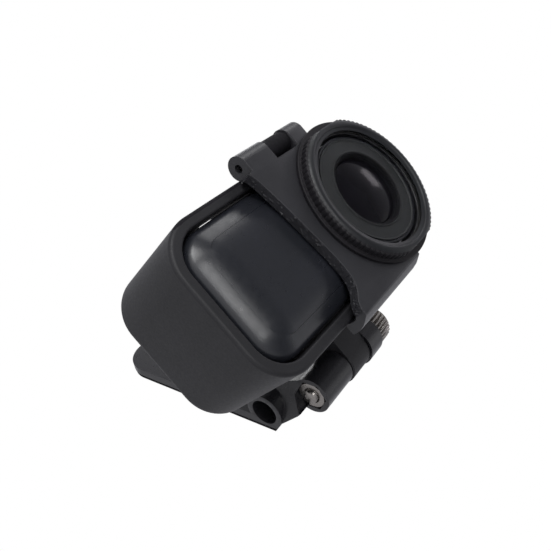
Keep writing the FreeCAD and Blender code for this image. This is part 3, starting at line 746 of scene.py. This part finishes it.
def build_camera():
    """The glossy shells and key, and the matte and dark rings round the coated lens."""
    gloss = finish("body_gloss", (0.010, 0.011, 0.014), (0.012, 0.013, 0.017), 0.3, grain=900, depth=0.000001,
                   spread=0.03)
    coat = finish("bezel_coat", (0.016, 0.0175, 0.0185), (0.021, 0.0228, 0.024), 0.55, specular=0.42)
    well = finish("barrel_black", (0.007, 0.007, 0.0085), (0.009, 0.009, 0.011), 0.6, specular=0.15)
    coated = finish("lens_coated", (0.0055, 0.0052, 0.007), (0.008, 0.0074, 0.010), 0.14, grain=600, depth=0,
                    spread=0.02, specular=0.15)
    make_front_shell(gloss)
    make_key(gloss)
    make_lens_rings(gloss, coat, well)
    make_dome(coated)
    dress("camera_rear_shell", gloss)


def build_guard():
    """The anodised ring, duller on its grip and darker there as painted shade, and its coated window."""
    anodised = finish("guard_black", (0.006, 0.0065, 0.008), (0.010, 0.011, 0.013), 0.42, specular=0.34)
    # the grip is duller for its knurl, and its darker colour over the grip and the smooth flange is painted shade
    grip = finish("grip_black_painted_shade", (0.005, 0.0045, 0.006), (0.008, 0.007, 0.009), 0.6, specular=0.25)
    make_guard(anodised, grip, coated_pane("window_glass", 0.10))


def build_hardware():
    bright = finish("bright_steel", (0.26, 0.245, 0.23), (0.34, 0.32, 0.30), 0.3, metallic=1)
    make_bolt(bright)
    make_nut(bright)
    make_pin(bright)


def build_mount():
    """The strap, the cradle with painted shade on its hinge ear in the slot, and the base with its foam pad."""
    strap = finish("strap_satin", (0.013, 0.013, 0.0155), (0.017, 0.017, 0.020), 0.42)
    cradle = finish("cradle_satin", (0.007, 0.007, 0.0085), (0.010, 0.010, 0.012), 0.55, specular=0.38)
    # painted shade: a darker, rougher copy of the cradle's material for the hinge ear, which the strap's slot
    # shades
    shade = finish("hinge_ear_painted_shade", (0.003, 0.003, 0.004), (0.008, 0.007, 0.010), 0.7, grain=1500, depth=0.00004,
                   specular=0.15)
    base = finish("base_satin", (0.009, 0.009, 0.011), (0.013, 0.013, 0.015), 0.32)
    foam = finish("foam", (0.004, 0.004, 0.005), (0.008, 0.008, 0.009), 0.9, specular=0.2)
    make_strap(strap)
    dress("cradle_frame", cradle)
    # painted shade on the hinge ear's faces
    paint_part(NODES["cradle_frame"], shade, in_hinge_painted_shade)
    dress("base_plate", base)
    round_edges("base_plate", 0.0003)
    dress("adhesive_pad", foam)
    round_edges("adhesive_pad", 0.0001)


def dress_optics():
    """Optical pieces and seals that show only when the camera is taken apart."""
    glass = finish("inner_glass", (0.02, 0.035, 0.03), (0.03, 0.05, 0.04), 0.08, depth=0, spread=0.02)
    filtered = finish("filter_glass", (0.10, 0.02, 0.03), (0.14, 0.03, 0.04), 0.1, depth=0, spread=0.02)
    silicon = finish("sensor_silicon", (0.05, 0.04, 0.07), (0.08, 0.07, 0.10), 0.2, metallic=0.5)
    black = finish("inner_black", (0.008, 0.008, 0.009), (0.014, 0.014, 0.015), 0.55)
    rubber = finish("rubber", (0.012, 0.012, 0.012), (0.02, 0.02, 0.02), 0.8)
    dress("lens_middle lens_rear", glass)
    dress("ir_filter", filtered)
    dress("image_sensor", silicon)
    dress("lens_spacer lens_holder speaker", black)
    dress("guard_gasket case_gasket", rubber)


def dress_electronics():
    """Boards, metal parts and the cell, which show only when the camera is taken apart."""
    board = finish("board_green", (0.010, 0.055, 0.022), (0.014, 0.075, 0.030), 0.45)
    epoxy = finish("chip_epoxy", (0.012, 0.012, 0.013), (0.018, 0.018, 0.019), 0.6)
    gold = finish("contact_gold", (0.72, 0.50, 0.19), (0.80, 0.58, 0.25), 0.3, metallic=1)
    steel = finish("small_steel", (0.45, 0.45, 0.46), (0.55, 0.55, 0.56), 0.35, metallic=1)
    tin = finish("can_tin", (0.58, 0.58, 0.57), (0.68, 0.68, 0.67), 0.4, metallic=1)
    copper = finish("spreader_copper", (0.62, 0.30, 0.17), (0.72, 0.38, 0.23), 0.4, metallic=1)
    foil = finish("battery_foil", (0.30, 0.31, 0.33), (0.38, 0.39, 0.41), 0.45, metallic=0.6)
    dress("main_board sensor_board", board)
    dress("board_chips", epoxy)
    dress("charge_contacts", gold)
    dress("case_screws key_switch microphone", steel)
    dress("shield_can", tin)
    dress("heat_spreader", copper)
    dress("battery", foil)


bpy.context.scene.view_settings.view_transform = "Standard"
make_camera()
make_world()
make_stage()
make_lights()
build_camera()
build_guard()
build_hardware()
build_mount()
dress_optics()
dress_electronics()
